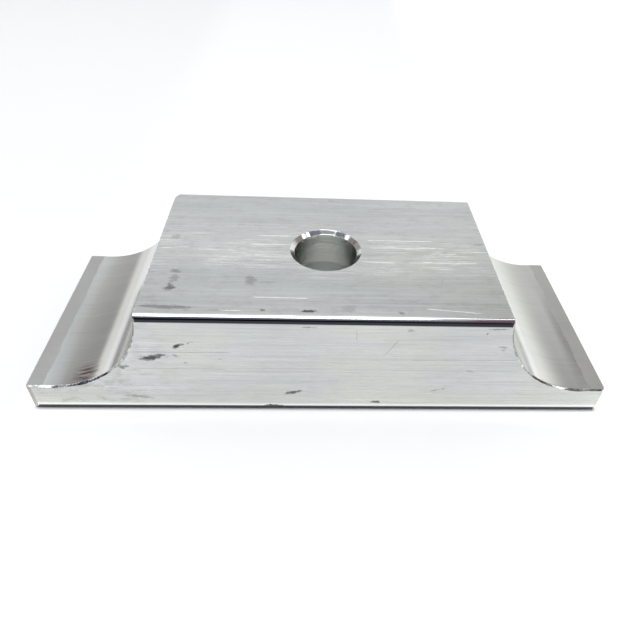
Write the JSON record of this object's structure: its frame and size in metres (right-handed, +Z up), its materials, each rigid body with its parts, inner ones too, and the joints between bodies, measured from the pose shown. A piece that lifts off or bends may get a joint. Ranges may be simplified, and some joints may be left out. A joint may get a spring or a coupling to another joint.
{
  "type": "two-tube clamp block",
  "caption": "Milled aluminium clamp block with a quarter-round saddle at each end for a pair of tubes, and one bolt hole through the middle.",
  "frame": {"origin": "axis of the bolt hole, at the underside", "axes": "+X from one tube to the other, +Y along the tubes, +Z up along the bolt hole"},
  "size_m": [0.098, 0.0376, 0.021],
  "materials": {
    "aluminium": "bare, drawn faces with die lines and bored satin saddles"
  },
  "bodies": {
    "root": {"clamp_block": "aluminium"}
  },
  "joints": []
}
